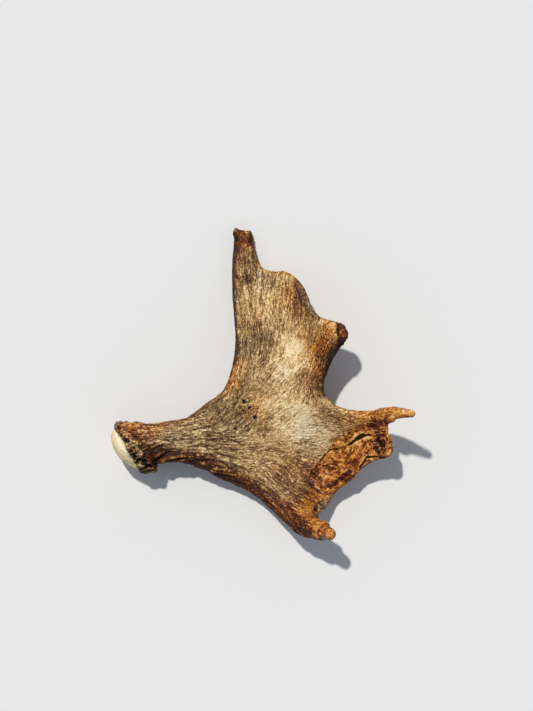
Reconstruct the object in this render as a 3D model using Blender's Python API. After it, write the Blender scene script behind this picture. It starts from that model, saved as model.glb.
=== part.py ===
"""A cast moose antler lying on its convex back, hollow side up.

It grew as one piece of bone. It branches at one fork, into the beam with its burr,
the main palm and the brow palm, and those three are the nodes. All lengths are in
millimetres until the finished meshes are scaled to metres.
"""

import math
import random

import bmesh
import bpy
import numpy as np
from mathutils import Matrix, Vector
from mathutils.geometry import delaunay_2d_cdt

METRES = 0.001
SEED = 7

# How finely the blank is built, and what is left of it in the solids.
OUTLINE_STEPS = 6
LATTICE = 4.0
RIM_INSETS = (0.6, 2.0, 4.0)
BALLS_A_SPAN = 8
VOXEL = 1.5
SMOOTH_PASSES = 6
FACETS = 8600
SPLIT_GAP = 0.3
SLIVER = 0.02

# The antler's edge, seen from above, from the burr round the main palm to the tines and back.
OUTLINE = (
    # upper side of the beam
    (-150, -44), (-132, -45), (-112, -42), (-90, -38), (-78, -31), (-64, -20),
    # bay between the beam and the main palm
    (-54, -13), (-45, -4), (-38, 12), (-34, 30),
    # straight outer edge of the main palm
    (-32, 52), (-34, 82), (-36, 112), (-36, 140), (-34, 166),
    # broken spike
    (-35, 175), (-31, 180), (-17, 180), (-12, 172), (-10, 161), (-6, 147),
    # notch, then the round shoulder
    (1, 135), (14, 132), (26, 132), (38, 124), (49, 109), (56, 90),
    # knob
    (65, 79), (79, 74), (90, 71), (97, 59), (93, 48), (84, 36),
    # deep bay between the palms
    (75, 18), (70, -1), (73, -14), (84, -23), (102, -28), (120, -29),
    # root of the right tine and the gnawed corner
    (136, -28), (144, -35), (143, -46), (144, -57), (149, -68), (148, -79), (140, -84),
    # gnawed rim
    (126, -88), (113, -98), (103, -109), (88, -120), (79, -132),
    # broken nub and the notch beside it
    (71, -144), (63, -148),
    # root of the lower tine
    (66, -158), (66, -170), (54, -176),
    # thick rib back to the beam
    (40, -171), (25, -158), (8, -143), (-11, -127), (-30, -116),
    (-50, -107), (-68, -98), (-88, -91), (-112, -88), (-124, -88), (-138, -78),
)

# Where the middle of the bone lies: x, y, height, half thickness, width of the rounded rim.
LANDMARKS = (
    # beam, round in section
    (-150, -66, 33, 22, 23), (-118, -66, 31, 21, 23), (-92, -64, 29, 21, 24),
    (-84, -44, 29, 20, 24), (-84, -84, 29, 20, 24), (-58, -58, 25, 18, 24),
    # fork
    (-22, -50, 17, 13, 18), (-62, -26, 30, 16, 18), (-46, -8, 33, 12, 14),
    (-52, -100, 24, 16, 18), (0, -78, 15, 10, 14),
    # main palm: thick outer edge, hollow middle, raised inner rim
    (-34, 25, 35, 9, 10), (-32, 57, 34, 8, 9), (-35, 110, 26, 7, 9),
    (4, 0, 19, 9, 12), (8, 52, 17, 8, 10), (6, 98, 14, 7, 10), (-4, 127, 10, 7, 9),
    (-25, 150, 7.5, 8, 9), (-24, 176, 9, 8, 9),
    (30, 126, 28, 6, 7), (50, 104, 44, 6, 7), (60, 80, 57, 7, 8),
    (92, 60, 67, 9, 9), (80, 34, 60, 8, 9), (71, 0, 52, 8, 9), (80, -20, 52, 8, 9),
    (44, 52, 33, 7, 9), (42, 6, 27, 8, 10),
    # brow palm: belly on the ground, gnawed rim raised
    (44, -52, 15, 9, 11), (56, -86, 8.5, 9, 11), (78, -54, 26, 9, 11),
    (112, -40, 47, 9, 10), (142, -34, 64, 9, 10), (146, -72, 55, 9, 9),
    (118, -88, 39, 9, 9), (96, -110, 28, 8, 8), (72, -138, 24, 7, 7),
    # rib along the lower edge, rising to the lower tine
    (-30, -112, 20, 14, 15), (0, -132, 20, 13, 14), (26, -152, 31, 13, 14),
    (56, -168, 48, 12, 13), (14, -100, 14, 10, 12), (38, -124, 20, 9, 12),
    (50, -144, 36, 11, 12),
)

# The patch on the brow palm where rodents gnawed the hard outside away.
GNAWED = (
    (56, -108), (60, -97), (74, -84), (86, -69), (97, -55), (114, -42), (130, -40),
    (141, -52), (142, -70), (132, -80), (116, -86), (104, -100), (88, -114), (70, -122),
)
GNAWED_DEPTH = 4.0
GNAWED_SLOPE = 4.0

# Tines: x, y, z and radius along the middle of each.
RIGHT_TINE = ((134, -35, 62, 9), (146, -31.5, 75, 7.8), (157, -31, 87, 6.4), (168, -31.5, 97, 4.9))
RIGHT_TINE_END = ((168, -31.5, 97), 4.9)
LOWER_TINE = ((44, -157, 42, 12), (57, -163, 53, 12.5), (67, -166, 62, 11), (74, -168, 70, 8))
LOWER_TINE_END = ((76, -169, 74), 7.6)

# Burr: a flared ring of pearls, and the domed seal where the antler broke from the skull.
BURR_CENTRE = (-149, -73.5, 32.5)
BURR_AXIS = (0.77, 0.63, -0.08)
BURR_RADIUS = 36.0
BURR_FLATTENING = 0.88
BURR_PROFILE = (
    (-19.5, 0.0), (-18.8, 10.0), (-16.8, 18.0), (-13.0, 25.5), (-8.0, 30.5),
    (-2.0, 33.0), (1.5, 36.0), (5.0, 36.0), (8.0, 30.0), (12.0, 24.0), (20.0, 18.0), (30.0, 0.0),
)
BURR_SIDES = 48
PEARLS = 26
PEARL_SIZES = (2.4, 3.8)

# Level of the ground against the blank, so that the three lowest places get real flats.
GROUND = 0.0

# Cuts that part the three branches at the fork: a point and the direction towards the piece kept.
FORK_CUT_POINT = (10, -14)
FORK_CUT_TOWARDS_PALM = (-0.06, 1.0)
BEAM_CUT_POINT = (-16, -60)
BEAM_CUT_TOWARDS_BEAM = (-1.0, -0.22)

# Colours are linear red, green and blue.
BONE = (0.42, 0.31, 0.19)
DARK_BONE = (0.26, 0.18, 0.11)
AMBER_BONE = (0.36, 0.20, 0.08)
BONE_ROUGHNESS = 0.6
CREASE_ANGLE = math.radians(50)


def clear_scene():
    for item in list(bpy.data.objects):
        bpy.data.objects.remove(item)


def smooth_path(points, steps, closed):
    """Catmull-Rom curve through the points, as an array with steps samples a span."""
    knots = np.array(points, float)
    count = len(knots)
    spans = count if closed else count - 1
    curve = []
    for i in range(spans):
        if closed:
            a, b, c, d = (knots[(i + k) % count] for k in (-1, 0, 1, 2))
        else:
            a, b, c, d = (knots[min(max(i + k, 0), count - 1)] for k in (-1, 0, 1, 2))
        for s in range(steps):
            t = s / steps
            curve.append(
                0.5 * (2 * b + (c - a) * t + (2 * a - 5 * b + 4 * c - d) * t**2
                       + (3 * b - a - 3 * c + d) * t**3)
            )
    if not closed:
        curve.append(knots[-1])
    return np.array(curve)


def bending_kernel(distance):
    """Thin-plate kernel, the shape of a sheet bent through points."""
    safe = np.maximum(distance, 1e-9)
    return safe**2 * np.log(safe)


def spread(sites, values, points):
    """Bends a thin sheet through the values at the sites and reads it at the points."""
    scale = 100.0
    sites = sites / scale
    points = points / scale
    count = len(sites)
    gaps = np.linalg.norm(sites[:, None] - sites[None], axis=2)
    flat = np.column_stack([np.ones(count), sites])
    system = np.zeros((count + 3, count + 3))
    system[:count, :count] = bending_kernel(gaps) + 0.002 * np.eye(count)
    system[:count, count:] = flat
    system[count:, :count] = flat.T
    weights = np.linalg.solve(system, np.concatenate([values, np.zeros(3)]))
    reach = np.linalg.norm(points[:, None] - sites[None], axis=2)
    return bending_kernel(reach) @ weights[:count] + weights[count] + points @ weights[count + 1:]


def distance_to(outline, points):
    """Shortest way from each point to a closed line."""
    start = outline
    run = np.roll(outline, -1, axis=0) - outline
    length = np.maximum((run**2).sum(1), 1e-12)
    best = np.full(len(points), 1e9)
    for corner, step, squared in zip(start, run, length):
        offset = points - corner
        t = np.clip((offset @ step) / squared, 0, 1)
        best = np.minimum(best, np.linalg.norm(offset - t[:, None] * step, axis=1))
    return best


def inside(outline, points):
    """True for each point that the closed line goes round."""
    crossed = np.zeros(len(points), bool)
    ends = np.roll(outline, -1, axis=0)
    for (x0, y0), (x1, y1) in zip(outline, ends):
        if y0 == y1:
            continue
        rising = (y0 > points[:, 1]) != (y1 > points[:, 1])
        where = x0 + (points[:, 1] - y0) * (x1 - x0) / (y1 - y0)
        crossed ^= rising & (points[:, 0] < where)
    return crossed


def ease(t):
    t = np.clip(t, 0, 1)
    return t * t * (3 - 2 * t)


def lattice_in(outline):
    """Points that fill the outline: rings close to the rim, then a hexagonal lattice."""
    points = [outline]
    ahead = np.roll(outline, -1, axis=0) - np.roll(outline, 1, axis=0)
    inward = np.column_stack([ahead[:, 1], -ahead[:, 0]])
    inward /= np.linalg.norm(inward, axis=1)[:, None]
    for inset in RIM_INSETS:
        ring = outline + inset * inward
        keep = (distance_to(outline, ring) > 0.85 * inset) & inside(outline, ring)
        points.append(ring[keep][::2 if inset > 1 else 1])
    low, high = outline.min(0), outline.max(0)
    rows = np.arange(low[1], high[1], LATTICE * math.sqrt(3) / 2)
    for number, y in enumerate(rows):
        x = np.arange(low[0] + (number % 2) * LATTICE / 2, high[0], LATTICE)
        row = np.column_stack([x, np.full(len(x), y)])
        keep = inside(outline, row)
        row = row[keep]
        if len(row):
            points.append(row[distance_to(outline, row) > RIM_INSETS[-1] + LATTICE / 2])
    return np.vstack(points)


def plate():
    """The beam and both palms as one swelling sheet: two skins that meet along the outline."""
    outline = smooth_path(OUTLINE, OUTLINE_STEPS, closed=True)
    points = lattice_in(outline)
    count = len(outline)
    border = [(i, (i + 1) % count) for i in range(count)]
    flat, _, faces, _, _, _ = delaunay_2d_cdt(
        [Vector(p) for p in points], border, [list(range(count))], 1, 1e-4
    )
    flat = np.array([tuple(p) for p in flat])
    marks = np.array(LANDMARKS, float)
    height, half, reach = (spread(marks[:, :2], marks[:, k], flat) for k in (2, 3, 4))
    edge = distance_to(outline, flat)
    share = np.clip(edge / np.maximum(reach, 4), 0, 1)
    swell = np.maximum(half, 3) * np.sqrt(1 - (1 - share) ** 2)
    patch = smooth_path(GNAWED, 4, closed=True)
    depth = np.where(inside(patch, flat), distance_to(patch, flat), 0)
    recess = GNAWED_DEPTH * ease(depth / GNAWED_SLOPE) * (swell > 1)
    bm = bmesh.new()
    tops = [bm.verts.new((x, y, 0)) for x, y in flat]
    for face in faces:
        bm.faces.new([tops[i] for i in face])
    skin = bmesh.ops.duplicate(bm, geom=bm.verts[:] + bm.faces[:])["geom"]
    under = [v for v in skin if isinstance(v, bmesh.types.BMVert)]
    bmesh.ops.reverse_faces(bm, faces=[f for f in skin if isinstance(f, bmesh.types.BMFace)])
    for i, vert in enumerate(tops):
        vert.co.z = height[i] + swell[i] - recess[i]
        under[i].co.z = height[i] - swell[i]
    bmesh.ops.remove_doubles(bm, verts=bm.verts[:], dist=1e-4)
    bmesh.ops.recalc_face_normals(bm, faces=bm.faces[:])
    return bm


def add_ball(bm, centre, radius, detail=3):
    bmesh.ops.create_icosphere(
        bm, subdivisions=detail, radius=radius, matrix=Matrix.Translation(centre)
    )


def tine(points, tip, tip_radius):
    """A tapering horn: closely spaced balls along its middle, which the remesh fuses."""
    bm = bmesh.new()
    for x, y, z, radius in smooth_path(points, BALLS_A_SPAN, closed=False):
        add_ball(bm, (x, y, z), radius, detail=2)
    add_ball(bm, tip, tip_radius)
    return bm


def burr_frame():
    """Turns local Z onto the burr's axis, with local X kept level."""
    axis = Vector(BURR_AXIS).normalized()
    level = Vector((0, 0, 1)).cross(axis).normalized()
    upright = axis.cross(level)
    turn = Matrix((level, upright, axis)).transposed().to_4x4()
    return Matrix.Translation(BURR_CENTRE) @ turn


def burr():
    """The burr's flare and the seal, spun round the burr's axis, with a ring of pearls."""
    bm = bmesh.new()
    line = [bm.verts.new((radius, 0, along)) for along, radius in BURR_PROFILE]
    edges = [bm.edges.new(pair) for pair in zip(line, line[1:])]
    bmesh.ops.spin(
        bm, geom=line + edges, cent=(0, 0, 0), axis=(0, 0, 1),
        angle=2 * math.pi, steps=BURR_SIDES, use_merge=True,
    )
    bmesh.ops.remove_doubles(bm, verts=bm.verts[:], dist=0.01)
    bmesh.ops.recalc_face_normals(bm, faces=bm.faces[:])
    chance = random.Random(SEED)
    for i in range(PEARLS):
        turn = 2 * math.pi * (i + chance.uniform(-0.25, 0.25)) / PEARLS
        size = chance.uniform(*PEARL_SIZES)
        out = BURR_RADIUS - 0.3 * size
        along = 3.0 + chance.uniform(-1.5, 3.0)
        add_ball(bm, (out * math.cos(turn), out * math.sin(turn), along), size, detail=2)
    bmesh.ops.scale(bm, vec=(1, BURR_FLATTENING, 1), verts=bm.verts[:])
    bmesh.ops.transform(bm, matrix=burr_frame(), verts=bm.verts[:])
    return bm


def joined(shapes):
    """One mesh of several closed shapes that run into each other."""
    whole = bmesh.new()
    for shape in shapes:
        mesh = bpy.data.meshes.new("shape")
        shape.to_mesh(mesh)
        shape.free()
        whole.from_mesh(mesh)
        bpy.data.meshes.remove(mesh)
    return whole


def apply_modifier(item, kind, **settings):
    """Gives the object a modifier and keeps the mesh that comes out of it."""
    modifier = item.modifiers.new(kind.lower(), kind)
    for key, value in settings.items():
        setattr(modifier, key, value)
    graph = bpy.context.evaluated_depsgraph_get()
    item.data = bpy.data.meshes.new_from_object(item.evaluated_get(graph), depsgraph=graph)
    item.modifiers.clear()


def blank():
    """The whole antler as one closed mesh in millimetres, with its flats cut."""
    bm = joined([
        plate(),
        tine(RIGHT_TINE, *RIGHT_TINE_END),
        tine(LOWER_TINE, *LOWER_TINE_END),
        burr(),
    ])
    mesh = bpy.data.meshes.new("blank")
    bm.to_mesh(mesh)
    bm.free()
    item = bpy.data.objects.new("blank", mesh)
    bpy.context.collection.objects.link(item)
    apply_modifier(item, "REMESH", mode="VOXEL", voxel_size=VOXEL)
    apply_modifier(item, "SMOOTH", factor=0.5, iterations=SMOOTH_PASSES)
    item.data.calc_loop_triangles()
    apply_modifier(item, "DECIMATE", ratio=FACETS / len(item.data.loop_triangles))
    bm = bmesh.new()
    bm.from_mesh(item.data)
    bpy.data.objects.remove(item)
    keep_side(bm, (0, 0, GROUND), (0, 0, 1))
    return bm


def keep_side(bm, point, towards):
    """Cuts the mesh with a plane, keeps the side it looks towards and closes the cut."""
    cut = bmesh.ops.bisect_plane(
        bm, geom=bm.verts[:] + bm.edges[:] + bm.faces[:],
        plane_co=point, plane_no=towards, clear_inner=True,
    )["geom_cut"]
    corners = [part for part in cut if isinstance(part, bmesh.types.BMVert)]
    bmesh.ops.remove_doubles(bm, verts=corners, dist=SLIVER)
    bmesh.ops.holes_fill(bm, edges=[edge for edge in bm.edges if edge.is_boundary])
    bmesh.ops.triangulate(bm, faces=bm.faces[:])
    bmesh.ops.recalc_face_normals(bm, faces=bm.faces[:])


def bone(name, colour):
    material = bpy.data.materials.new(name)
    material.use_nodes = True
    shader = material.node_tree.nodes["Principled BSDF"]
    shader.inputs["Base Color"].default_value = (*colour, 1)
    shader.inputs["Roughness"].default_value = BONE_ROUGHNESS
    return material


def branch(name, source, cuts, centre, colour):
    """One branch of the antler: what is left of the blank on the kept side of each cut."""
    bm = source.copy()
    for point, towards in cuts:
        way = Vector((*towards, 0)).normalized()
        keep_side(bm, Vector((*point, 0)) + way * SPLIT_GAP / 2, way)
    bmesh.ops.translate(bm, vec=-centre, verts=bm.verts[:])
    bmesh.ops.scale(bm, vec=(METRES,) * 3, verts=bm.verts[:])
    mesh = bpy.data.meshes.new(name)
    bm.to_mesh(mesh)
    bm.free()
    mesh.shade_smooth()
    mesh.set_sharp_from_angle(angle=CREASE_ANGLE)
    mesh.materials.append(bone(name + "_bone", colour))
    item = bpy.data.objects.new(name, mesh)
    bpy.context.collection.objects.link(item)
    return item


def away(direction):
    return tuple(-part for part in direction)


def build():
    clear_scene()
    whole = blank()
    low = Vector([min(v.co[k] for v in whole.verts) for k in range(3)])
    high = Vector([max(v.co[k] for v in whole.verts) for k in range(3)])
    centre = Vector(((low.x + high.x) / 2, (low.y + high.y) / 2, GROUND))
    print("lowest and highest corners, mm:", tuple(low), tuple(high))
    palm_side = (FORK_CUT_POINT, FORK_CUT_TOWARDS_PALM)
    foot_side = (FORK_CUT_POINT, away(FORK_CUT_TOWARDS_PALM))
    beam_side = (BEAM_CUT_POINT, BEAM_CUT_TOWARDS_BEAM)
    brow_side = (BEAM_CUT_POINT, away(BEAM_CUT_TOWARDS_BEAM))
    branch("beam", whole, [foot_side, beam_side], centre, DARK_BONE)
    branch("main_palm", whole, [palm_side], centre, BONE)
    branch("brow_palm", whole, [foot_side, brow_side], centre, AMBER_BONE)
    whole.free()


build()
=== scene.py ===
# %% [markdown]
# # A cast moose antler
# A moose drops its antlers each winter. This one is small and palmate: a round beam
# ends in a burr, where it broke from the skull, and opens at one fork into two hollow
# palms. Mice gnawed the brow palm, and a spike, a knob and a nub are broken off.
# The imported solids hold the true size. This lesson grows a finished skin over them.
# Places on the antler are in millimetres from the middle of the fork, FORK.

# %% Load the frame
import math
import random

import bmesh
import bpy
import numpy as np
from mathutils import Matrix, Vector
from mathutils.kdtree import KDTree


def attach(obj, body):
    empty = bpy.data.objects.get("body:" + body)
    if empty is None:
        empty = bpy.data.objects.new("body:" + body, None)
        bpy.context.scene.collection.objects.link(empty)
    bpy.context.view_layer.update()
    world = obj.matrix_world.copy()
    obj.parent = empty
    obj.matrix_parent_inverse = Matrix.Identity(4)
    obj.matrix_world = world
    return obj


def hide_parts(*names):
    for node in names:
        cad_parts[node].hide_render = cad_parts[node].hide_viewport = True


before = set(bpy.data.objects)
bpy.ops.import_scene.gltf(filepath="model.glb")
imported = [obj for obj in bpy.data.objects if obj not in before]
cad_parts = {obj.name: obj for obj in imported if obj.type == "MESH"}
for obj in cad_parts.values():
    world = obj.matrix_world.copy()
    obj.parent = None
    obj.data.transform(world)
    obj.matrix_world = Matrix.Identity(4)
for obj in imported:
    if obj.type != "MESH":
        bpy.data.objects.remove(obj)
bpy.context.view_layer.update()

MM = 0.001
FORK = np.array((1.3, 0.05, 0.0))
print("nodes:", sorted(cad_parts))

# %% [markdown]
# ## Camera and light
# The antler lies on its back with the hollow side up, so the camera hangs straight
# above it and looks at the palms square on. A long lens keeps the raised tines from
# growing in the picture. One firm key light from the upper left draws the relief, and
# a pale sky fills the shadows. The floor is plain, because it isn't part of the object.

# %% Colours and nodes
def linear(code, alpha=1.0):
    """Turns an sRGB hex colour into the linear values that Blender works in."""
    parts = [int(code[i:i + 2], 16) / 255 for i in (1, 3, 5)]
    return [c / 12.92 if c <= 0.04045 else ((c + 0.055) / 1.055) ** 2.4 for c in parts] + [alpha]


def add_node(tree, kind, settings=None, **links):
    """Adds a node, sets its properties and inputs, and links inputs to other nodes' outputs.

    An input is named, with _ for a space, or numbered, as in _0 for the first one.
    """
    node = tree.nodes.new(kind)
    for key, value in (settings or {}).items():
        setattr(node, key, value)
    for key, value in links.items():
        name = key.replace("_", " ") if key.replace("_", " ") in node.inputs else key
        place = int(key[1:]) if key[1:].isdigit() else name
        if isinstance(value, bpy.types.NodeSocket):
            tree.links.new(value, node.inputs[place])
        else:
            node.inputs[place].default_value = value
    return node


# %% Camera
PICTURE = (533, 711)
VIEW_WIDTH_MM = 613.0
# The view is that wide at the mean height of the palms.
VIEW_LEVEL_MM = 40.0
CAMERA_HEIGHT = 3.0
AIM = (4.0, 32.0)
SENSOR_MM = 36.0
CLIP_END = 20.0


def make_camera():
    """A long lens that hangs over the antler and looks straight down."""
    lens = bpy.data.cameras.new("camera")
    view_height_mm = VIEW_WIDTH_MM * PICTURE[1] / PICTURE[0]
    lens.sensor_width = SENSOR_MM
    lens.lens = SENSOR_MM * (CAMERA_HEIGHT / MM - VIEW_LEVEL_MM) / view_height_mm
    lens.clip_end = CLIP_END
    camera = bpy.data.objects.new("camera", lens)
    camera.location = ((AIM[0] + FORK[0]) * MM, (AIM[1] + FORK[1]) * MM, CAMERA_HEIGHT)
    bpy.context.scene.collection.objects.link(camera)
    bpy.context.scene.camera = camera
    return lens


bpy.context.scene.view_settings.view_transform = "Standard"
print("lens, mm:", round(make_camera().lens, 1))

# %% Key light and sky
KEY_ENERGY = 2.6
KEY_SPREAD = 2.5
KEY_WAY = Vector((0.26, -0.52, -1))
KEY_COLOUR = "#fffaf2"
SKY_HORIZON = "#b4b9c0"
SKY_ZENITH = "#737b88"


def make_key_light():
    """A firm, slightly warm light from the upper left, with soft-edged shadows."""
    lamp = bpy.data.lights.new("key", "SUN")
    lamp.energy = KEY_ENERGY
    lamp.angle = math.radians(KEY_SPREAD)
    lamp.color = linear(KEY_COLOUR)[:3]
    key = bpy.data.objects.new("key", lamp)
    key.rotation_euler = KEY_WAY.to_track_quat("-Z", "Y").to_euler()
    bpy.context.scene.collection.objects.link(key)


def make_sky():
    """Soft light from all round, paler at the horizon."""
    world = bpy.data.worlds.new("sky")
    world.use_nodes = True
    tree = world.node_tree
    tree.nodes.clear()
    place = add_node(tree, "ShaderNodeTexCoord")
    up = add_node(tree, "ShaderNodeSeparateXYZ", Vector=place.outputs["Generated"])
    ramp = add_node(tree, "ShaderNodeValToRGB", Fac=up.outputs["Z"])
    ramp.color_ramp.elements[0].color = linear(SKY_HORIZON)
    ramp.color_ramp.elements[1].color = linear(SKY_ZENITH)
    back = add_node(tree, "ShaderNodeBackground", Color=ramp.outputs["Color"])
    add_node(tree, "ShaderNodeOutputWorld", Surface=back.outputs["Background"])
    bpy.context.scene.world = world


make_key_light()
make_sky()
print("key light leans", round(math.degrees(KEY_WAY.angle(Vector((0, 0, -1))))), "degrees")

# %% Floor
FLOOR_HALF = 6.0
BOARD_COLOUR = "#e9eaea"
MATT = 0.85


def make_floor():
    """Matt painted board in an even, very pale grey. It takes shadows and gives no shine."""
    bm = bmesh.new()
    bmesh.ops.create_grid(bm, x_segments=1, y_segments=1, size=FLOOR_HALF)
    mesh = bpy.data.meshes.new("floor")
    bm.to_mesh(mesh)
    bm.free()
    floor = bpy.data.objects.new("floor", mesh)
    paint = bpy.data.materials.new("painted_board")
    paint.use_nodes = True
    shader = paint.node_tree.nodes["Principled BSDF"]
    shader.inputs["Base Color"].default_value = linear(BOARD_COLOUR)
    shader.inputs["Roughness"].default_value = MATT
    mesh.materials.append(paint)
    bpy.context.scene.collection.objects.link(floor)


make_floor()
print("floor, m across:", 2 * FLOOR_HALF)

# %% [markdown]
# ## The blank
# The three packed branches are one bone in nature. Their meshes are copied, merged and
# swollen by a hair so that they overlap at the cuts, and a voxel remesh fuses them.
# Smoothing then takes the facets out. Sculptors start the same way, from a blank
# that has the right masses and no detail yet.

# %% Fuse the branches
SAME_POINT = 0.01 * MM
FUSE_VOXEL = 1.3 * MM
FUSE_SWELL = 0.25 * MM
FUSE_SMOOTHING = 12


def run_modifier(piece, kind, **settings):
    """Adds a modifier, keeps the mesh that comes out of it and drops the modifier."""
    modifier = piece.modifiers.new(kind.lower(), kind)
    for key, value in settings.items():
        setattr(modifier, key, value)
    graph = bpy.context.evaluated_depsgraph_get()
    mesh = bpy.data.meshes.new_from_object(piece.evaluated_get(graph), depsgraph=graph)
    piece.modifiers.clear()
    piece.data = mesh


def fused_branches():
    """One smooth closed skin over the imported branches."""
    bm = bmesh.new()
    for name in sorted(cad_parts):
        bm.from_mesh(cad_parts[name].data)
    bmesh.ops.remove_doubles(bm, verts=bm.verts[:], dist=SAME_POINT)
    bm.normal_update()
    for vert in bm.verts:
        vert.co += vert.normal * FUSE_SWELL
    mesh = bpy.data.meshes.new("moose_antler")
    bm.to_mesh(mesh)
    bm.free()
    piece = bpy.data.objects.new("moose_antler", mesh)
    bpy.context.scene.collection.objects.link(piece)
    run_modifier(piece, "REMESH", mode="VOXEL", voxel_size=FUSE_VOXEL)
    run_modifier(piece, "SMOOTH", factor=0.5, iterations=FUSE_SMOOTHING)
    return piece


antler = fused_branches()
print("blank:", len(antler.data.vertices), "points")

# %% [markdown]
# ## The burr's pearls
# Where skin met bone the antler grew a ring of knobs, called pearls. They sit proud
# of the rim in an uneven row, with smaller ones in front of it, round the seal, and
# behind it, where they trail up the beam between the first furrows. Each pearl is an
# icosphere, stretched along the beam. They go in before the last remesh, which fuses
# them to the burr.

# %% Add the pearls
# The burr's middle, its axis from the seal to the beam, and two directions across it.
BURR_CENTRE = np.array((-149.0, -75.6, 32.5))
BURR_AXIS = Vector((0.77, 0.63, -0.08)).normalized()
BURR_LEVEL = Vector((0, 0, 1)).cross(BURR_AXIS).normalized()
BURR_UPRIGHT = BURR_AXIS.cross(BURR_LEVEL)
BURR_FLATTENING = 0.88
# The seal's edge lies this far along the axis, and leans by this much to either side.
SEAL_EDGE = -8.2
SEAL_LEAN = 5.2
BURR_RADII = (
    # place along the axis and radius of the burr there, in mm
    (-17, 18), (-13, 25.8), (-8, 30.8), (-2, 33.4), (2, 35.6), (5, 35.6), (8, 32), (13.5, 26.8),
)
PEARL_ROWS = (
    # how many, place along the axis, share of the seal's lean, smallest and largest radius in mm
    (46, -6.8, 1.0, 1.2, 2.1),
    (44, -3.0, 0.6, 1.2, 2.4),
    (38, 2.5, 0.0, 1.5, 2.8),
    (34, 7.5, 0.0, 1.3, 2.4),
    (30, 13.0, 0.0, 1.2, 2.0),
)


def burr_point(turn, radius, along):
    """A point on the burr, in mm, from its angle, distance from the axis and place along it."""
    across = BURR_LEVEL * math.cos(turn) + BURR_UPRIGHT * math.sin(turn) * BURR_FLATTENING
    return Vector(BURR_CENTRE) + across * radius + BURR_AXIS * along


def add_pearls(piece):
    """Rows of knobs round the burr, each a little out of place and sunk by a third."""
    chance = random.Random(3)
    bm = bmesh.new()
    bm.from_mesh(piece.data)
    for count, start, lean, small, large in PEARL_ROWS:
        for i in range(count):
            turn = 2 * math.pi * (i + chance.uniform(-0.3, 0.3)) / count
            radius = chance.uniform(small, large)
            along = start + lean * SEAL_LEAN * math.cos(turn) + chance.uniform(-1.3, 1.3)
            ring = np.interp(along, *zip(*BURR_RADII)) + chance.uniform(-1, 0.6) - 0.3 * radius
            spot = (burr_point(turn, ring, along) + Vector(FORK)) * MM
            stretch = chance.uniform(0.8, 1.4)
            shape = Matrix.LocRotScale(spot, BURR_AXIS.to_track_quat("X", "Z"), (stretch, 1, 1))
            bmesh.ops.create_icosphere(bm, subdivisions=2, radius=radius * MM, matrix=shape)
    bm.to_mesh(piece.data)
    bm.free()


SKIN_VOXEL = 1.1 * MM
add_pearls(antler)
run_modifier(antler, "REMESH", mode="VOXEL", voxel_size=SKIN_VOXEL)
run_modifier(antler, "SMOOTH", factor=0.5, iterations=1)
print("skin:", len(antler.data.vertices), "points,", len(antler.data.polygons), "faces")

# %% [markdown]
# ## Tools for sculpting by rule
# A sculptor pushes points in or out along the surface. Here numpy does that for every
# point at once. A blur averages each point with its neighbours, lattice noise makes
# lumps, and distances to lines, rings and spots in the plan say where a feature is.
# A distance eased between two values is a mask, and masks with strengths add up to
# layers, so each feature is a line or two that can be changed alone.

# %% Read and push the skin
def read_mesh(mesh):
    """Points in millimetres from the fork and outward normals of a mesh, as arrays."""
    count = len(mesh.vertices)
    flat_points = np.empty(count * 3, np.float32)
    flat_normals = np.empty(count * 3, np.float32)
    mesh.vertices.foreach_get("co", flat_points)
    mesh.vertex_normals.foreach_get("vector", flat_normals)
    points = flat_points.reshape(-1, 3).astype(float) / MM - FORK
    return points, flat_normals.reshape(-1, 3).astype(float)


def pushed(push):
    """Moves each point along its normal by its own number of mm, but not under the floor."""
    moved = (places + normals * push[:, None] + FORK) * MM
    moved[:, 2] = np.maximum(moved[:, 2], 0)
    antler.data.vertices.foreach_set("co", moved.astype(np.float32).ravel())
    antler.data.update()
    return read_mesh(antler.data)


def read_edges(mesh):
    """The two points at the ends of every edge."""
    pairs = np.empty(len(mesh.edges) * 2, np.int32)
    mesh.edges.foreach_get("vertices", pairs)
    return pairs.reshape(-1, 2)


places, normals = read_mesh(antler.data)
EDGES = read_edges(antler.data)
POINTS = len(places)
VALENCE = np.bincount(EDGES.ravel(), minlength=POINTS)
print("sculpting", POINTS, "points")

# %% Blur, ease, add up and make noise
def blur(values, passes):
    """Averages each point with its neighbours, again and again."""
    if values.ndim == 2:
        return np.column_stack([blur(column, passes) for column in values.T])
    one, two = EDGES.T
    for _ in range(passes):
        total = np.bincount(one, values[two], POINTS) + np.bincount(two, values[one], POINTS)
        values = 0.5 * values + 0.5 * total / VALENCE
    return values


def ease(low, high, values):
    """Changes smoothly from 0 to 1 as values go from low to high."""
    t = np.clip((values - low) / (high - low), 0, 1)
    return t * t * (3 - 2 * t)


def near(gap, inner, outer):
    """1 where a distance is less than inner, 0 where it is more than outer, soft between."""
    return 1 - ease(inner, outer, gap)


def faces_up(low, high):
    """How much each point faces up. Normals run from -1 on the back to 1 on top."""
    return ease(low, high, normals[:, 2])


def layered(*layers):
    """Adds up layers, each a strength and a mask or pattern."""
    return sum(strength * layer for strength, layer in layers)


def lumps(size, seed, stretch=(1, 1, 1)):
    """Smooth lattice noise from -1 to 1, whose lumps are about as wide as size, in mm."""
    scaled = places / (size * np.array(stretch)) + seed * 17.3
    cell = np.floor(scaled).astype(np.int64)
    part = scaled - cell
    part = part * part * (3 - 2 * part)
    total = np.zeros(POINTS)
    for corner in np.ndindex(2, 2, 2):
        key = (cell + corner) @ np.array([73856093, 19349663, 83492791]) + seed * 9176
        key = ((key ^ (key >> 13)) * 1274126177) & 0xFFFFFFFF
        key = ((key ^ (key >> 16)) * 2654435761) & 0xFFFFFFFF
        weight = np.prod(np.where(corner, part, 1 - part), axis=1)
        total += weight * (key / 0x7FFFFFFF - 1)
    return total


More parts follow.
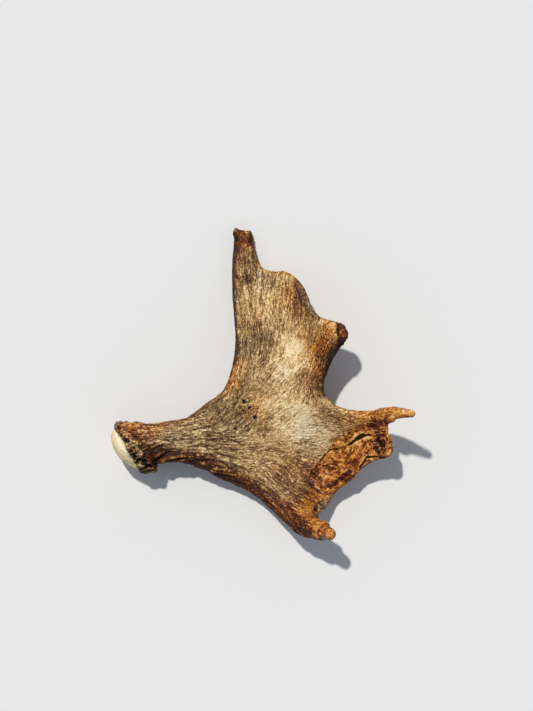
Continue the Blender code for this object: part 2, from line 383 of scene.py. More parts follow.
# %% Distances in the plan
def line_gap(line):
    """Shortest way, in the plan, from each point to a line through several places."""
    best = np.full(POINTS, 1e9)
    for start, end in zip(line, line[1:]):
        start, run = np.array(start, float), np.array(end, float) - np.array(start, float)
        offset = places[:, :2] - start
        t = np.clip(offset @ run / (run @ run), 0, 1)
        best = np.minimum(best, np.linalg.norm(offset - t[:, None] * run, axis=1))
    return best


def ring_depth(ring):
    """How far each point lies inside a ring in the plan. It is negative outside."""
    crossed = np.zeros(POINTS, bool)
    x, y = places[:, 0], places[:, 1]
    for (x0, y0), (x1, y1) in zip(ring, [*ring[1:], ring[0]]):
        rising = (y0 > y) != (y1 > y)
        crossed ^= rising & (x < x0 + (y - y0) * (x1 - x0) / (y1 - y0 + 1e-12))
    return np.where(crossed, 1, -1) * line_gap([*ring, ring[0]])


def spot_gap(spot):
    """How far each point is from a spot, in the plan or in space."""
    return np.linalg.norm(places[:, :len(spot)] - spot, axis=1)


def washes(spots):
    """Soft patches with ragged edges: each spot is x, y, reach and strength."""
    ragged = 1 + layered((0.35, lumps(9, 61)), (0.25, lumps(4, 62)))
    total = np.zeros(POINTS)
    for x, y, reach, strength in spots:
        total += strength * np.exp(-(spot_gap((x, y)) * ragged / reach) ** 2)
    return np.clip(total, 0, 1)


# %% [markdown]
# ## The grain
# Bone fibres run out of the beam and fan into both palms. A handful of headings, taken at places across the
# antler, are blended into a heading for every point. Close neighbours differ by well under a right angle, so
# a plain weighted average is safe.
# From each point one step ahead and one behind along the grain is looked up once,
# and noise is then smeared by averaging along those steps.

# %% Grain direction
GRAIN = (
    # x and y in mm, heading in degrees
    (-128, -84, 38), (-134, -58, 22), (-108, -66, 0), (-80, -48, 8), (-80, -84, -8),
    (-62, -26, 34), (-46, -8, 56), (-34, 22, 78), (-33, 70, 90), (-34, 130, 90),
    (-26, 168, 92), (0, 105, 88), (4, 60, 80), (8, 15, 62), (30, -4, 52), (45, 40, 72),
    (34, 105, 94), (50, 95, 106), (62, 62, 62), (82, 60, 26), (72, 20, 78), (72, -8, 100),
    (-18, -44, 24), (30, -30, 36), (50, -48, 12), (90, -34, -6), (125, -32, 2), (160, -32, 2),
    (10, -72, -14), (45, -78, -24), (75, -70, 30), (-40, -98, -26), (-5, -120, -34),
    (30, -145, -40), (62, -165, -28), (30, -110, -38), (55, -120, -30), (110, -75, 42),
)
GRAIN_REACH = 14.0
# The share of the heading that points up, which sets the grain on faces that look along it.
END_LIFT = 0.15


def grain_course():
    """The grain as a direction in the surface. It climbs the ends that face along it."""
    sites = np.array(GRAIN, float)
    gap = ((places[:, None, :2] - sites[None, :, :2]) ** 2).sum(2)
    weight = 1 / (gap + GRAIN_REACH**2) ** 2
    wander = layered((9, lumps(16, 5)), (7, lumps(7, 6)))
    heading = np.radians(weight @ sites[:, 2] / weight.sum(1) + wander)
    course = np.column_stack([np.cos(heading), np.sin(heading), np.full(POINTS, END_LIFT)])
    course -= (course * normals).sum(1)[:, None] * normals
    return course / np.maximum(np.linalg.norm(course, axis=1), 1e-6)[:, None]


course = grain_course()
print("grain taken at", len(GRAIN), "places")

# %% Smear noise along the grain
SHORT_STEP = 1.3
LONG_STEP = 4.0


def steps_along(length):
    """For each point, the points nearest to one step ahead and one step behind."""
    tree = KDTree(POINTS)
    for i, place in enumerate(places):
        tree.insert(place, i)
    tree.balance()
    ahead = [tree.find(place)[1] for place in places + course * length]
    behind = [tree.find(place)[1] for place in places - course * length]
    return np.array(ahead), np.array(behind)


def flow(values, *stages):
    """Smears values along the grain, in stages of steps and passes, to a spread of one."""
    for (ahead, behind), passes in stages:
        for _ in range(passes):
            values = 0.4 * values + 0.3 * (values[ahead] + values[behind])
    values = values - values.mean()
    return values / values.std()


short_steps = steps_along(SHORT_STEP)
long_steps = steps_along(LONG_STEP)
chance = np.random.default_rng(11)
hatch = flow(chance.normal(size=POINTS), (short_steps, 2))
fibre = flow(blur(chance.normal(size=POINTS), 1), (short_steps, 5))
cord = flow(blur(chance.normal(size=POINTS), 4), (short_steps, 10), (long_steps, 5))
print("grain ready")

# %% [markdown]
# ## Where things are
# A few masks name the places that weather differently: the round back, the beam and the
# rib along the lower edge. Each is 0 outside, 1 inside and soft between, so that
# features fade into each other and no border shows.

# %% Masks for the parts of the antler
RIB = ((-124, -83), (-72, -94), (-44, -109), (-15, -123), (14, -142), (43, -167))

east, north = places[:, 0], places[:, 1]
upper = faces_up(-0.05, 0.3)
back = 1 - ease(-0.35, 0.0, blur(normals[:, 2], 6))
beam = ease(-5, -60, east) * ease(10, -25, north)
low_beam = beam * ease(-58, -84, north)
rib = near(line_gap(RIB) + 1.5 * lumps(8, 3), 7, 17)
print("share of points on the back:", round(float(back.mean()), 2))

# %% [markdown]
# ## The gnawed patch
# Mice and porcupines gnaw cast antlers for their minerals. Here they took the hard
# outside off the brow palm and opened the spongy bone under it, which weathered to
# amber mounds with dark creases. Four sizes of lattice noise make the mounds. A crease
# runs where another noise crosses nought, because that is always a thin winding line.
# Holes in the marrow open only inside a few zones, where a third noise is high.

# %% Outline the gnawed patch
GNAWED = (
    (50, -112), (56, -100), (67, -86), (76, -74), (86, -63.5), (95.5, -55), (108, -48),
    (125, -42), (138, -44), (146, -54), (150, -72), (147, -83), (133, -86), (119, -92),
    (111, -107), (91, -120), (77, -129), (66, -127), (56, -121),
)
GNAWED_STEP = ((62, -126), (50, -112), (56, -100), (69, -85))

gnaw_depth = ring_depth(GNAWED) + layered((1.2, lumps(7, 21)), (0.8, lumps(3, 22)))
gnawed = ease(-0.6, 1.6, gnaw_depth) * faces_up(-0.6, 0.1)
step_cut = near(line_gap(GNAWED_STEP), 1.5, 7) * gnawed
print("gnawed points:", int((gnawed > 0.5).sum()))

# %% Mounds, creases, cracks and marrow
SLIT = ((98, -72), (108, -64), (116, -60), (124, -59.5))
SLIT_MOUTH = ((108, -64), (114, -60.5))
MOUTH_WIDENING = 1.1
CRACK = ((112, -97), (116, -90), (118, -84), (127, -84.5), (138, -86.5), (147, -85.5))
LIP = ((105, -104), (91, -115.5), (77, -127.5))
VALLEY = ((99, -103), (87, -112), (77, -119))
MARROW_ZONES = (
    # x, y and radius in mm
    (131, -71, 11), (145, -64, 7), (122, -49, 5), (119, -79, 4),
)

mounds = layered((0.6, lumps(13, 23)), (0.5, lumps(7, 24)), (0.3, lumps(3.6, 25)), (0.12, lumps(2.0, 19)))
creases = near(np.abs(lumps(9, 18) + 0.15 * fibre), 0.02, 0.2) * ease(0.0, 0.5, lumps(14, 17))
slit_gap = np.minimum(line_gap(SLIT), line_gap(SLIT_MOUTH) - MOUTH_WIDENING)
slit = near(slit_gap + 0.6 * lumps(3, 26), 0.4, 1.8) * upper
crack = near(line_gap(CRACK) + 0.6 * lumps(3, 27), 0.5, 1.8) * upper
lip = near(line_gap(LIP), 1.0, 3.4) * upper
valley = near(line_gap(VALLEY) + 1.5 * lumps(4, 28), 1.0, 4.2) * upper
marrow_zone = np.zeros(POINTS)
for east_mm, north_mm, radius in MARROW_ZONES:
    gap = spot_gap((east_mm, north_mm)) + 1.5 * lumps(5, 28)
    marrow_zone = np.maximum(marrow_zone, near(gap, 0.5 * radius, 1.1 * radius) * gnawed)
marrow = marrow_zone * ease(0.14, 0.42, lumps(3.6, 29) + 0.35 * lumps(2.0, 30))

gnaw_push = layered(
    # how many mm out of the surface, or into it where negative, and what is moved
    (2.2, gnawed * mounds), (-1.0, gnawed * step_cut), (-0.9, gnawed * creases),
    (0.15, gnawed * fibre), (-0.2, gnawed),
    (-3.4, slit), (1.3, lip), (-1.5, valley), (-2.2, crack), (-2.4, marrow),
)
print("gnawed relief, mm:", round(float(np.ptp(gnaw_push)), 1))

# %% [markdown]
# ## Breaks
# A spike, a knob and a nub snapped off, and the shoulder's rim is chipped. A break shows
# spongy bone, which is granular and ragged, so each is roughened with fine noise. A crack
# parts the knob's broken end from its root, and a hole opens beside the nub. On the lower
# tine the outer bone broke off all round, and left a collar with a smooth horn standing
# out of it. The knob and the tine lean, so they are measured along their own axes.

# %% The nub, the knob and the shoulder's rim
NUB = (67, -140.5)
NUB_HOLE = (61.5, -145)
KNOB_FACE = np.array((85.0, 57.0, 72.0))
KNOB_WAY = np.array((0.93, 0.03, 0.37))
SHOULDER_RIM = ((40.5, 119), (44.5, 107), (48.5, 96), (54, 84), (62, 75))


def along_and_off(start, way):
    """For each point, how far it lies along an axis in space and how far off it."""
    along = (places - start) @ way
    return along, np.linalg.norm(places - start - along[:, None] * way, axis=1)


grit = layered((0.6, lumps(2.4, 31)), (0.4, lumps(1.6, 32)))
topside = faces_up(-0.3, 0.2)
nub = near(spot_gap(NUB) + lumps(4, 33), 5.0, 6.6) * topside
nub_hole = near(spot_gap(NUB_HOLE) + 0.6 * lumps(3, 34), 1.4, 3.8) * topside
beyond_knob, off_knob = along_and_off(KNOB_FACE, KNOB_WAY)
knob_edge = beyond_knob + 1.2 * lumps(5, 35) + 0.6 * lumps(2.5, 16)
on_knob = near(off_knob, 19, 22)
knob = ease(-0.4, 0.6, knob_edge) * on_knob
knob_crack = np.exp(-((knob_edge - 0.8) / 1.5) ** 2) * on_knob * faces_up(-0.6, 0.1)
# The chipped band narrows towards both of its ends.
rim_taper = 3.5 * ease(88, 72, north) + 2 * ease(112, 124, north)
rim_gap = line_gap(SHOULDER_RIM) + 1.2 * lumps(5, 36) + rim_taper
chipped = near(rim_gap, 4.6, 5.8) * faces_up(-0.5, 0.1)
print("knob points:", int((knob > 0.5).sum()))

# %% The spike, the lower tine and the right tine
SPIKE_BREAK = 160.0
SPIKE_END = (169, 176)
SPIKE_MIDDLE = -24
TINE_FOOT = np.array((57.0, -163.0, 53.0))
TINE_WAY = np.array((0.646, -0.272, 0.714))
COLLAR_START = (6, 14)
COLLAR_END = (17.5, 18.8)
RIGHT_TINE_NORTH = -33
RIGHT_TINE_FILLET = (145, -41)

spike = ease(SPIKE_BREAK - 10, SPIKE_BREAK + 6, north + 5 * lumps(6, 37))
spike_end = ease(*SPIKE_END, north)
# The corners of the broken end stand out, so it is square across.
spike_corners = ease(3, 8, np.abs(east - SPIKE_MIDDLE))
spike_chips = layered((2.2, lumps(4.0, 39)), (1.6, lumps(2.4, 15)), (2.6, spike_corners)) - 0.8
along_tine, off_tine = along_and_off(TINE_FOOT, TINE_WAY)
along_tine = along_tine + 1.3 * lumps(3.2, 38)
on_tine = near(off_tine, 18, 22)
collar = ease(*COLLAR_START, along_tine) * near(along_tine, *COLLAR_END) * on_tine
horn = ease(*COLLAR_END, along_tine) * on_tine
tip_east = ease(150, 160, east) * near(np.abs(north - RIGHT_TINE_NORTH), 10, 16)
fillet = near(spot_gap(RIGHT_TINE_FILLET), 2, 7)

break_push = layered(
    # mm out of the surface, or into it where negative
    (0.9, nub * grit), (-1.0, nub), (-2.6, nub_hole), (0.5, chipped * grit), (0.4, chipped),
    (1.2, knob * grit), (0.4, knob), (-1.6, knob_crack), (1.3, spike * grit), (-0.3, spike),
    (1.0, spike_end * spike_chips), (3.0, fillet), (0.8, collar),
    (-1.0, horn * near(along_tine, 22, 30)),
)
print("break relief, mm:", round(float(np.ptp(break_push)), 1))

# %% [markdown]
# ## The seal, the pits and the small holes
# The seal is the domed scar where the antler broke from the skull: pale, finely porous and ringed by a
# groove. Black pits sit between the pearls, where dirt packed in, and a few foramina, the holes that blood
# vessels left, open near the fork. The pits that show most are listed one by one, and the rest fall where a
# seeded random draw puts them.

# %% The seal and its groove
from_burr = places - BURR_CENTRE
along_burr = from_burr @ np.array(BURR_AXIS)
burr_level = from_burr @ np.array(BURR_LEVEL)
burr_upright = from_burr @ np.array(BURR_UPRIGHT) / BURR_FLATTENING
turn = np.arctan2(burr_upright, burr_level)
off_axis = np.linalg.norm(from_burr - along_burr[:, None] * np.array(BURR_AXIS), axis=1)
near_burr = near(off_axis, 42, 48)
seal_line = SEAL_EDGE + SEAL_LEAN * np.cos(turn) + 0.9 * lumps(5, 41)
seal = near(along_burr - seal_line, -0.7, 0.7) * near_burr
groove = np.exp(-((along_burr - seal_line - 0.3) / 1.1) ** 2) * near_burr
seal_pores = ease(0.45, 0.75, lumps(2.6, 42)) * seal
# The side of the seal that is away from +Y is worn back.
seal_wear = seal * ease(0.1, 0.9, -np.cos(turn))
behind_burr = np.exp(-((along_burr - 14) / 6.5) ** 2) * near_burr * (1 - seal)
print("seal points:", int((seal > 0.5).sum()))

# %% Pits, dirt and foramina
BURR_PITS = (
    # x, y and radius in mm
    (-165.5, -50.5, 3.2), (-165.8, -56.2, 2.1), (-162.8, -59.3, 2.7), (-158, -65.6, 3.9),
    (-154.5, -66.6, 2.4), (-150.5, -77, 3.0), (-147, -83.5, 3.6), (-142, -88, 3.4),
    (-136, -91, 3.6), (-131, -95, 3.4), (-145.2, -60.4, 1.4),
)
BURR_DIRT = ((-150, -80), (-141, -89), (-131, -96))
FORAMINA = ((-21.5, -21.5, 3.2), (-9, -39.5, 3.6), (-31, -53, 1.6), (-15.5, -28.5, 2.0), (-22, -32, 1.3))
HIDDEN_PITS = 16
HIDDEN_PIT_RING = 32


def small_holes(holes, ragged, inner, outer):
    """Round holes with ragged edges, from inner to outer of each one's radius."""
    total = np.zeros(POINTS)
    for east_mm, north_mm, radius in holes:
        gap = spot_gap((east_mm, north_mm)) * ragged
        total = np.maximum(total, near(gap, inner * radius, outer * radius) * upper)
    return total


pits = small_holes(BURR_PITS, 1 + 0.4 * lumps(2.8, 43), 0.4, 1.25)
chance_of_pit = random.Random(5)
for _ in range(HIDDEN_PITS):
    pit_turn = chance_of_pit.uniform(math.pi, 2 * math.pi)
    gap = spot_gap(burr_point(pit_turn, HIDDEN_PIT_RING, chance_of_pit.uniform(5, 9)))
    pits = np.maximum(pits, near(gap, 1.6, 4.5))
foramina = small_holes(FORAMINA, 1 + 0.3 * lumps(2.4, 44), 0.3, 1.2)
dirt = near(line_gap(BURR_DIRT), 3, 8) * faces_up(-0.4, 0.1)

burr_push = layered(
    # mm out of the surface, or into it where negative
    (1.6, behind_burr), (-3.0, pits), (-1.3, groove), (-0.5, seal_pores), (-2.2, foramina),
    (-2.6, seal_wear),
)
print("pits and holes, points:", int((pits + foramina > 0.5).sum()))

# %% [markdown]
# ## Furrows and fibres
# The grain becomes relief last, so that it crosses every other form. Cords are the
# broad furrows on the beam, deepest under the burr and along the rib. Fibres and
# hatching are the fine ridges, and worms are the short winding ones. All of them fade
# out on the breaks, the seal, the gnawed patch and the tines' polished ends.

# %% Push in all the relief
under_burr = near(spot_gap((-130, -92)), 14, 44) * (1 - seal)
polish = np.clip(horn + tip_east, 0, 1)
plain = (1 - gnawed) * (1 - seal)
for fading, strength in ((knob, 0.8), (nub, 0.7), (polish, 0.8), (spike, 0.6)):
    plain = plain * (1 - strength * fading)
furrow = 0.06 + layered((0.04, beam), (0.45, low_beam), (0.55, rib), (0.5, under_burr), (0.2, back))
# Furrows are deeper than the cords between them are tall.
cord_shape = np.where(cord < 0, 1.3 * cord, 0.7 * cord)
fibre_height = 0.10 + layered((0.06, beam), (0.12, rib))
worms = layered((1.0, lumps(3.2, 71, (1.5, 1, 1))), (0.6, lumps(1.9, 72)))
worm_height = 0.14 + 0.18 * beam
grain_push = plain * layered((furrow, cord_shape), (fibre_height, fibre), (0.12, hatch), (worm_height, worms))
total_push = gnaw_push + break_push + burr_push + grain_push
places, normals = pushed(total_push)
print("push, mm:", round(float(total_push.min()), 2), "to", round(float(total_push.max()), 2))

# %% [markdown]
# ## Stains, painted shade and painted light
# Old bone is darkest where water and dirt stay, and palest where rain and sun reach it. Comparing each point
# with its blurred surroundings says how deep it lies in a hollow, and the tone is made darker in the hollows
# and paler on the crests: that is painted shade and painted light.
# That, the grain and soft washes of light and dark over the palms add up to one tone. The washes are round
# spots with ragged edges, set where the bone is paler, darker, redder or greyer, and a few where the palms
# face towards the key light or away from it, which are painted light and painted shade. The material turns
# the tone to a colour, along a scale of its own for weathered, amber, grey, gnawed and sealed bone.

# %% Washes over the palms
# Paler bone, and painted light: the strongest spot, at 40, 42, is the slope of the main palm that faces the
# key light.
PALE_AND_LIT = (
    # x, y and reach in mm, and strength
    (40, 42, 19, 0.34), (26, 22, 15, 0.20), (-6, 84, 16, 0.14), (52, 18, 12, 0.12), (20, 100, 16, 0.08),
    (30, -30, 24, 0.20), (46, -50, 22, 0.28), (0, -27, 12, 0.18), (12, 5, 16, 0.14), (-8, 110, 12, 0.10),
    (66, -62, 16, 0.14), (30, -78, 14, 0.08), (-22, 100, 10, 0.08), (150, -32, 22, 0.12),
    (50, 62, 10, 0.08), (-18, 21, 10, 0.16), (36, 60, 14, 0.08), (31, -62, 16, 0.10),
    (104, -70, 14, 0.06), (50, -156, 18, 0.07), (-118, -50, 16, 0.12),
)
# Dark stains, and painted shade: the spots at 72, 44 and 68, 26 lie beside the bay's inner rim, which faces
# away from the key light.
DARK_AND_SHADED = (
    (-4, 68, 8, 0.20), (1, 52, 10, 0.14), (-18, 120, 7, 0.20), (0, -53, 7, 0.22), (-14, -50, 9, 0.10),
    (-6, 117, 6, 0.14), (-28, 150, 12, 0.16), (-14, 168, 8, 0.20), (-50, -30, 14, 0.10),
    (-16, -34, 6, 0.12), (15, 45, 9, 0.06), (2, 20, 9, 0.06), (20, -75, 16, 0.06), (40, -95, 22, 0.12),
    (20, -112, 20, 0.10), (72, 44, 12, 0.14), (68, 26, 10, 0.26), (50, -128, 16, 0.16),
    (56, -110, 8, 0.12), (-60, -92, 14, 0.12), (-34, 20, 8, 0.12), (44, 104, 12, 0.12), (-9, -36, 6, 0.04),
)
AMBER = (
    (70, 42, 14, 1.0), (80, 62, 14, 0.9), (70, 12, 12, 1.0), (-34, 20, 12, 0.9), (-38, 0, 10, 0.9),
    (0, -28, 12, 0.5), (-14, -32, 8, 0.55), (54, -158, 24, 1.0), (150, -32, 26, 1.0), (136, -38, 16, 0.8),
    (66, -128, 12, 0.8), (-150, -50, 18, 0.8), (-120, -48, 14, 0.6), (108, -34, 14, 0.7),
    (44, 112, 12, 0.7), (-35, 70, 9, 0.7), (-22, 172, 18, 1.0), (48, -104, 14, 0.5), (30, 96, 14, 0.5),
    (-35, 118, 9, 0.6), (-6, 84, 18, 0.35), (40, 42, 18, 0.25), (30, -95, 22, 0.3), (-35, 140, 9, 0.6),
)
GREY = (
    (54, -54, 26, 0.6), (-20, 38, 14, 0.5), (23, 12, 10, 0.4), (-112, -65, 22, 0.5), (0, 118, 12, 0.4),
    (1, 55, 12, 0.5), (-40, -50, 20, 0.4),
)

light = washes(PALE_AND_LIT) * upper
dark = washes(DARK_AND_SHADED) * upper
amber_wash = washes(AMBER)
grey_wash = washes(GREY)
print("strongest light and dark:", round(float(light.max()), 2), round(float(dark.max()), 2))

# %% Hollows and edges
BAY_RIM = ((90, 45), (85.5, 40), (78, 31), (76, 22), (71, 13), (70, 3), (70.5, -8))
WEST_RIM = ((-35, 170), (-35.5, 142), (-36.5, 114), (-36, 90), (-34, 60), (-32, 45), (-34, 31))


def hollow(passes, spread):
    """How far each point lies below its surroundings, from -1 on crests to 1 in pits."""
    depth = ((blur(places, passes) - places) * normals).sum(1)
    return np.tanh((depth - np.median(depth)) / spread)


# These depths darken hollows and lighten crests in the tone, as painted shade and painted light.
fine_hollow = hollow(3, 0.16)
wide_hollow = hollow(24, 0.9)
# The edges, where the surface turns sideways, get painted shade in the tone.
near_edge = near(blur(np.abs(normals[:, 2]), 30), 0.45, 0.95)
very_edge = near(blur(np.abs(normals[:, 2]), 6), 0.2, 0.8)
# North-facing slopes face the key light, so the painted shade on the edges is weaker there.
north_side = ease(0.1, 0.7, normals[:, 1])
bay_gap = line_gap(BAY_RIM) + 1.2 * lumps(5, 58)
west_gap = line_gap(WEST_RIM) + 1.5 * lumps(7, 64)
burr_rim = near(np.abs(along_burr + 1), 5, 10) * near_burr * (1 - seal)
chip_line = np.exp(-((rim_gap - 5.4) / 0.9) ** 2) * upper
veins = near(np.abs(cord), 0.0, 0.28) * ease(-0.2, 0.4, lumps(18, 75)) * plain
print("median depth in wide hollows:", round(float(np.median(wide_hollow)), 3))

# %% Amber and grey bone
amber = layered(
    (1.0, amber_wash), (0.6, spike), (0.85, rib), (0.7, near_edge * (1 - 0.6 * beam)), (0.9, polish),
    (0.7, knob),
)
amber *= (0.85 + 0.35 * lumps(6, 57)) * (1 - 0.8 * nub) * (1 - 0.6 * chipped)
amber = np.clip(amber, 0, 1)
grey = np.clip(layered((0.6, chipped), (0.85, nub), (0.9, grey_wash)), 0, 1)
print("share of amber and grey:", round(float(amber.mean()), 2), round(float(grey.mean()), 2))

# %% The tone, from 0 for the darkest stain and painted shade to 1 for the palest bone
BASE_TONE = 0.54
DARKEST_TONE = 0.12

mottle = layered((0.6, lumps(3.4, 73)), (0.4, lumps(2.1, 74)))
fibre_tone = 0.02 + layered((0.03, rib), (0.02, beam))
cord_tone = 0.035 + layered((0.05, low_beam), (0.03, rib), (0.035, ease(60, 95, north)))
tone = BASE_TONE + layered(
    # the parts of the antler
    (-0.10, beam), (-0.37, rib * (1 - 0.5 * back)), (-0.03, back), (0.55, seal), (0.02, burr_rim),
    # its edges: painted shade where they turn sideways, weaker on edges that face north, towards the key
    # light
    (-0.20, near_edge * (1 - 0.4 * north_side)), (-0.22, very_edge * (1 - 0.8 * north_side)),
    # the last of these, inside the bay's rim, is painted shade
    (-0.42, near(west_gap, 2.5, 6.5)), (-0.12, near(west_gap, 5, 13)), (-0.24, near(bay_gap, 5, 14)),
    # washes, partly painted light and painted shade, and mottling
    (1.0, light), (-1.0, dark), (0.06, lumps(16, 52)), (0.07, lumps(7, 53)), (0.11, mottle),
    # the grain
    (0.05, hatch), (fibre_tone, fibre), (cord_tone, cord), (-0.09, veins),
    # painted shade in the hollows and painted light on the crests
    (-0.12, fine_hollow), (-0.10, wide_hollow * (1 - gnawed)),
    # the gnawed patch: painted shade in its hollows, and a dark line at the foot of its step that is partly
    # stain and partly painted shadow
    (-0.24, gnawed * wide_hollow), (-0.04, gnawed * fine_hollow), (0.05, gnawed * lumps(3.5, 54)),
    (0.12, gnawed * lumps(9, 50)), (-0.25, crack + valley), (-0.34, lip), (-0.20, marrow_zone),
    (-0.30, step_cut * near(gnaw_depth, 1.0, 4.0)), (-0.08, creases * gnawed),
    # the breaks; the knob's darker end is partly spongy bone and partly painted shade, as it faces away from
    # the key light
    (-0.30, knob), (-0.17, nub), (-0.26, chipped), (-0.24, chip_line), (-0.09, spike),
)
tone = np.maximum(tone, DARKEST_TONE + 0.1 * back)
print("tone:", [round(float(v), 2) for v in np.percentile(tone, (1, 10, 50, 90, 99))])

# %% Black dirt and painted shade
holes = layered((1.0, pits), (1.0, foramina), (0.95, slit), (0.9, crack), (0.9, marrow))
packed_dirt = dirt * ease(-0.9, 0.0, fine_hollow + 0.4 * lumps(3, 55))
# The bay's inner wall faces away from the key light: it is painted black as painted shade.
bay_wall_shade = near(bay_gap, 1.5, 7.0) * faces_up(-0.7, -0.1)
soot_and_shade_layers = (
    # strength and place: where two overlap, the blacker one shows
    (1.0, np.clip(holes, 0, 1)),
    (1.0, nub_hole),
    (1.0, knob_crack),
    (0.95, packed_dirt),
    # black in the hollows of the burr's rim, the rib, the seal's groove and under the burr is dirt and
    # painted shade
    (0.9, burr_rim * ease(0.0, 0.7, fine_hollow)),
    (0.85, bay_wall_shade),
    (0.8, knob * ease(0.1, 0.6, lumps(2.8, 60))),
    (0.8, spike * ease(0.35, 0.6, lumps(2.3, 59))),
    (0.7, chipped * ease(0.25, 0.6, lumps(2.2, 56))),
    (0.6, (rib + 0.4 * low_beam * (1 - rib)) * ease(0.35, 0.95, fine_hollow)),
    (0.6, groove * (1 - 0.5 * seal)),
    (0.5, under_burr * ease(0.2, 0.8, fine_hollow)),
)
soot_and_shade = np.max([strength * layer for strength, layer in soot_and_shade_layers], axis=0)
print("black points:", int((soot_and_shade > 0.5).sum()))

# %% [markdown]
# Each mask is stored on the mesh as a named attribute, which the material can read. The
# skin then has its triangles thinned where it is flat, and the attributes are carried
# over by that modifier. Contrast says how strongly the finest grain shows: more on amber
# bone and on the broken nub, less on the seal.

# %% Store the masks and thin the skin
SKIN_TRIANGLES = 196_000

contrast = 1 + 0.3 * amber * (1 - gnawed) + 0.3 * nub
contrast *= (1 + 0.35 * lumps(13, 65)) * (1 - 0.6 * seal)
STORED = {
    "grain_way": course, "tone": tone, "amber": amber, "grey": grey, "gnawed": gnawed,
    "seal": seal, "soot_and_shade": soot_and_shade, "polish": polish, "contrast": contrast,
}


def store(name, values):
    """Writes an array to the mesh as an attribute: a vector or a number for each point."""
    kind, field = ("FLOAT_VECTOR", "vector") if values.ndim == 2 else ("FLOAT", "value")
    layer = antler.data.attributes.new(name, kind, "POINT")
    layer.data.foreach_set(field, values.astype(np.float32).ravel())


for name, values in STORED.items():
    store(name, values)
antler.data.calc_loop_triangles()
run_modifier(antler, "DECIMATE", ratio=SKIN_TRIANGLES / len(antler.data.loop_triangles))
antler.data.calc_loop_triangles()
antler.data.shade_smooth()
print("finished skin:", len(antler.data.loop_triangles), "triangles")

# %% [markdown]
# ## Weathered antler bone
# Antler is bone: a fine-grained, slightly waxy solid, matt where it weathers and glossy
# where it is handled. What the eye reads is the grain, so the material repeats the
# smearing trick at a finer scale than the mesh. It averages several copies of one noise,
# each moved a little further along the stored grain direction. Plain noise adds specks,
# and the folds of a wider noise, where it crosses its middle, add a winding web of dark
# pores. Together they drive colour and bump, and the finest of them the roughness.

# %% Choose the bone's values
# Dense bone bends light about as much as glass does. A weathered skin is full of pores
# that trap the shine, so its specular level is less than half of the usual 0.5.
BONE_IOR = 1.54
BONE_SPECULAR = 0.2
WEATHERED_ROUGHNESS = 0.62
# What handling and weather took off the roughness of a polished tip. The waxy bone
# under a gnawed skin has half of that gloss.
POLISHING = -0.28
GNAWED_GLOSS = 0.5
STREAK_SHINE = -0.08
RELIEF_DEPTH = 0.28 * MM
RELIEF_STRENGTH = 0.55
# Bone's fibres and pores are 0.1 to 0.4 mm wide, too fine to show when the whole antler
# is in view. Each pattern is drawn as coarse as it needs to be to show. These two have
# a width and a step along the grain in mm, and a number of copies that are averaged.
BUNDLE = (1.3, 0.65, 3)
STREAK = (0.7, 0.35, 3)
SPECK_MM = 1.5
WEB_MM = 3.2
# How far each pattern moves the tone, what their average takes off again, and how tall
# each one stands in the bump.
IN_TONE = {"bundle": 0.46, "streak": 0.24, "speck": 0.36, "web": 1.2}
TONE_TAKEN_OFF = -0.62
IN_BUMP = {"streak": 1.0, "bundle": 1.2, "speck": 0.6, "web": 2.0}
# Black for dirt, holes and painted shade.
SOOT_AND_SHADE_COLOUR = "#130b06"
STOPS = (0.0, 0.25, 0.45, 0.62, 0.8, 1.0)
SCALES = {
    # sRGB colours from the darkest stain to the palest, laid over each other in this order
    "weathered": ("#20140b", "#563b21", "#8f6e43", "#c09c68", "#e8cb95", "#f9e8c2"),
    "grey": ("#1b1510", "#4d3e2d", "#847155", "#ad9a7a", "#d2c3a4", "#eee4cf"),
    "amber": ("#1a0802", "#5a2507", "#975419", "#c78133", "#e8b062", "#f8d9a0"),
    "gnawed": ("#180602", "#541f09", "#95511a", "#c47f31", "#e5aa5a", "#f7d796"),
    "seal": ("#4a3a20", "#94794a", "#c7ab74", "#e0c997", "#f0dcb0", "#faeecd"),
}
print("finest pattern in the bone, mm:", STREAK[0])

# %% Patterns of the grain
ADD = {"operation": "ADD"}
MULTIPLY_ADD = {"operation": "MULTIPLY_ADD"}


def smeared_noise(tree, place, way, width, step, copies):
    """Noise averaged over copies moved along the grain, brought back to 0 to 1. Sizes in mm."""
    total = 0.0
    for k in range(copies):
        move = (k - (copies - 1) / 2) * step * MM
        offset = add_node(tree, "ShaderNodeVectorMath", {"operation": "SCALE"}, _0=way, Scale=move)
        spot = add_node(tree, "ShaderNodeVectorMath", ADD, _0=place, _1=offset.outputs[0])
        noise = add_node(tree, "ShaderNodeTexNoise", Vector=spot.outputs[0], Scale=1 / (width * MM),
                         Detail=1.0)
        total = add_node(tree, "ShaderNodeMath", ADD, _0=total, _1=noise.outputs["Fac"]).outputs[0]
    # A sum of copies swings less, so its usual range is stretched again.
    middle, swing = 0.5 * copies, 0.42 * math.sqrt(copies)
    spread = add_node(tree, "ShaderNodeMapRange", {"clamp": False}, Value=total, From_Min=middle - swing,
                      From_Max=middle + swing)
    return spread.outputs["Result"]


def bone_patterns(tree, way):
    """Bundles and streaks along the grain, specks, and a web where a wide noise folds."""
    place = add_node(tree, "ShaderNodeTexCoord").outputs["Object"]
    speck = add_node(tree, "ShaderNodeTexNoise", Vector=place, Scale=1 / (SPECK_MM * MM), Detail=2.0)
    folds = add_node(tree, "ShaderNodeTexNoise", Vector=place, Scale=1 / (WEB_MM * MM), Detail=1.5)
    centred = add_node(tree, "ShaderNodeMath", {"operation": "SUBTRACT"}, _0=folds.outputs["Fac"], _1=0.5)
    web = add_node(tree, "ShaderNodeMath", {"operation": "ABSOLUTE"}, _0=centred.outputs[0])
    return {
        "bundle": smeared_noise(tree, place, way, *BUNDLE),
        "streak": smeared_noise(tree, place, way, *STREAK),
        "speck": speck.outputs["Fac"],
        "web": web.outputs[0],
    }


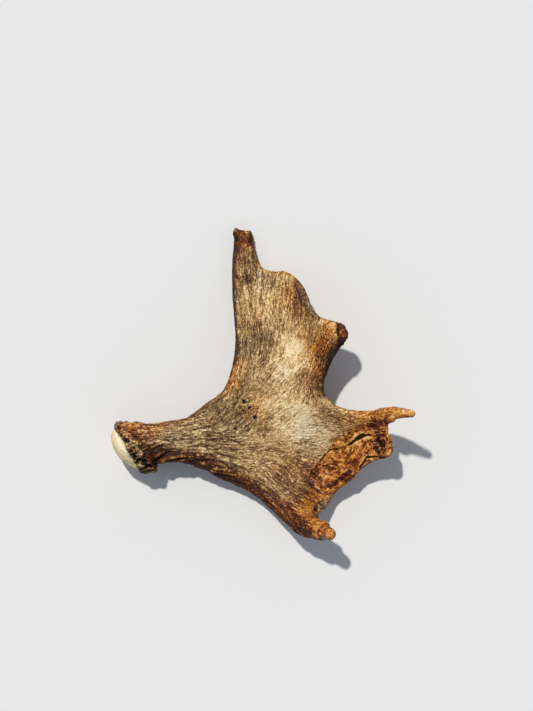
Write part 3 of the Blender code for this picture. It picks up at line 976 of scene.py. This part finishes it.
# %% From tone to colour
def bone_tone(tree, mask, patterns):
    """The stored tone, moved up and down by the patterns as much as the contrast says."""
    total = TONE_TAKEN_OFF
    for name, share in IN_TONE.items():
        pattern = patterns[name]
        total = add_node(tree, "ShaderNodeMath", MULTIPLY_ADD, _0=pattern, _1=share, _2=total).outputs[0]
    moved = add_node(tree, "ShaderNodeMath", MULTIPLY_ADD, _0=total, _1=mask["contrast"], _2=mask["tone"])
    return moved.outputs[0]


def bone_colour(tree, mask, tone_now):
    """The tone on each colour scale, laid over each other by their masks, with soot and painted shade on top.
    """
    colour = None
    for name, codes in SCALES.items():
        ramp = add_node(tree, "ShaderNodeValToRGB", Fac=tone_now)
        elements = ramp.color_ramp.elements
        for stop, code in zip(STOPS[1:-1], codes[1:-1]):
            elements.new(stop).color = linear(code)
        elements[0].color = linear(codes[0])
        elements[-1].color = linear(codes[-1])
        if colour is None:
            colour = ramp.outputs["Color"]
        else:
            laid = add_node(tree, "ShaderNodeMix", {"data_type": "RGBA"}, _0=mask[name], _6=colour,
                            _7=ramp.outputs["Color"])
            colour = laid.outputs[2]
    sooty = add_node(tree, "ShaderNodeMix", {"data_type": "RGBA"}, _0=mask["soot_and_shade"], _6=colour,
                     _7=linear(SOOT_AND_SHADE_COLOUR))
    return sooty.outputs[2]


# %% Make the bone material
def make_bone():
    """Bone whose colour follows the stored tone, with grain, specks and a web of pores."""
    bone = bpy.data.materials.new("weathered_antler_bone")
    bone.use_nodes = True
    tree = bone.node_tree
    shader = tree.nodes["Principled BSDF"]
    shader.inputs["IOR"].default_value = BONE_IOR
    shader.inputs["Specular IOR Level"].default_value = BONE_SPECULAR
    layers = {name: add_node(tree, "ShaderNodeAttribute", {"attribute_name": name}) for name in STORED}
    mask = {name: layer.outputs["Fac"] for name, layer in layers.items()}
    patterns = bone_patterns(tree, layers["grain_way"].outputs["Vector"])

    colour = bone_colour(tree, mask, bone_tone(tree, mask, patterns))
    tree.links.new(colour, shader.inputs["Base Color"])

    gloss = add_node(tree, "ShaderNodeMath", MULTIPLY_ADD, _0=mask["gnawed"], _1=GNAWED_GLOSS,
                     _2=mask["polish"])
    rough = add_node(tree, "ShaderNodeMath", MULTIPLY_ADD, _0=gloss.outputs[0], _1=POLISHING,
                     _2=WEATHERED_ROUGHNESS)
    rough = add_node(tree, "ShaderNodeMath", MULTIPLY_ADD, _0=patterns["streak"], _1=STREAK_SHINE,
                     _2=rough.outputs[0])
    tree.links.new(rough.outputs[0], shader.inputs["Roughness"])

    relief = 0.0
    for name, height in IN_BUMP.items():
        pattern = patterns[name]
        relief = add_node(tree, "ShaderNodeMath", MULTIPLY_ADD, _0=pattern, _1=height, _2=relief).outputs[0]
    bump = add_node(tree, "ShaderNodeBump", Height=relief, Strength=RELIEF_STRENGTH, Distance=RELIEF_DEPTH)
    tree.links.new(bump.outputs["Normal"], shader.inputs["Normal"])
    return bone


antler.data.materials.append(make_bone())
print("material:", antler.data.materials[0].name)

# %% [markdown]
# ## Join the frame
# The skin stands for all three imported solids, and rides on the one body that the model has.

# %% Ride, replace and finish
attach(antler, "root")
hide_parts("beam", "main_palm", "brow_palm")
